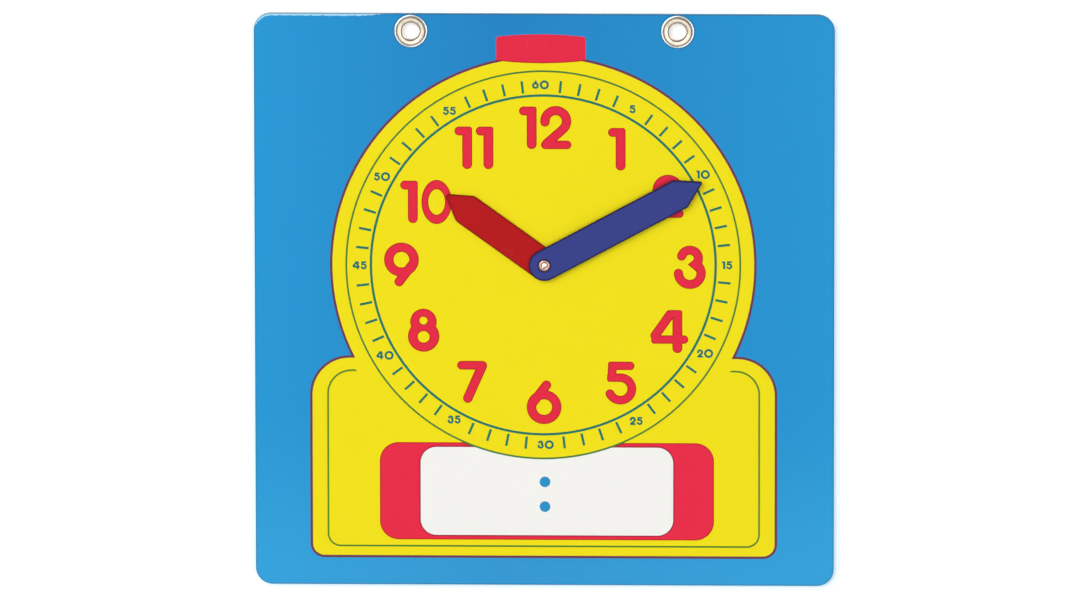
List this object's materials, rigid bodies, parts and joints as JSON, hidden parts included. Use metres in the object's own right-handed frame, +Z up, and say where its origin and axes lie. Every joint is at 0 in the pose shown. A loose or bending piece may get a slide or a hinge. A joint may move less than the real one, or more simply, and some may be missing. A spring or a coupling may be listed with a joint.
{
  "type": "teaching clock",
  "caption": "Square wall card printed with a clock face and a blank time panel, hung by two eyelets, with flat pointed hands that turn by hand on a hollow rivet.",
  "frame": {"origin": "midway between the two hanging eyelets, on the plane of the board's back", "axes": "+Z up to twelve o'clock, +X to the right of someone reading the clock, -Y out of the printed face, +Y out of the back"},
  "size_m": [0.3048, 0.0072, 0.3057],
  "materials": {
    "lining_paper": "matt white lining paper",
    "greyboard": "pressed paper fibre, matt",
    "blue_print": "gloss film over print",
    "brown_print": "gloss film over print",
    "yellow_print": "gloss film over print",
    "red_print": "gloss film over print",
    "edging_print": "gloss film over print",
    "teal_print": "gloss film over print",
    "green_print": "gloss film over print",
    "white_print": "gloss film over bare paper",
    "plated_brass": "worn thin plate, polished",
    "plated_steel": "bright plate",
    "fibre_washer": "matt",
    "red_plastic": "smooth, half gloss",
    "blue_plastic": "smooth, half gloss"
  },
  "bodies": {
    "board": {"back_paper": "lining_paper", "board_core": "greyboard", "front_paper": "lining_paper", "print_blue_ground": "blue_print", "print_body_outline": "brown_print", "print_yellow_body": "yellow_print", "print_knob": "red_print", "print_hour_numbers": "red_print", "print_red_edging": "edging_print", "print_minute_ring": "teal_print", "print_outer_ring": "green_print", "print_minute_ticks": "teal_print", "print_minute_numbers": "teal_print", "print_base_line": "green_print", "print_readout_panel": "red_print", "print_readout_window": "white_print", "print_colon_dots": "blue_print", "left_eyelet_barrel": "plated_brass", "left_eyelet_washer": "plated_steel", "right_eyelet_barrel": "plated_brass", "right_eyelet_washer": "plated_steel", "pivot_rivet": "plated_steel", "rivet_back_washer": "plated_steel", "board_washer": "fibre_washer", "hand_washer": "fibre_washer"},
    "hour_hand": {"hour_hand": "red_plastic"},
    "minute_hand": {"minute_hand": "blue_plastic"}
  },
  "joints": [
    {"name": "hour_hand_turn", "type": "hinge", "parent": "board", "child": "hour_hand", "pos_m": [0, 0, -0.1245], "axis": [0, 1, 0], "continuous": true},
    {"name": "minute_hand_turn", "type": "hinge", "parent": "board", "child": "minute_hand", "pos_m": [0, 0, -0.1245], "axis": [0, 1, 0], "continuous": true}
  ]
}
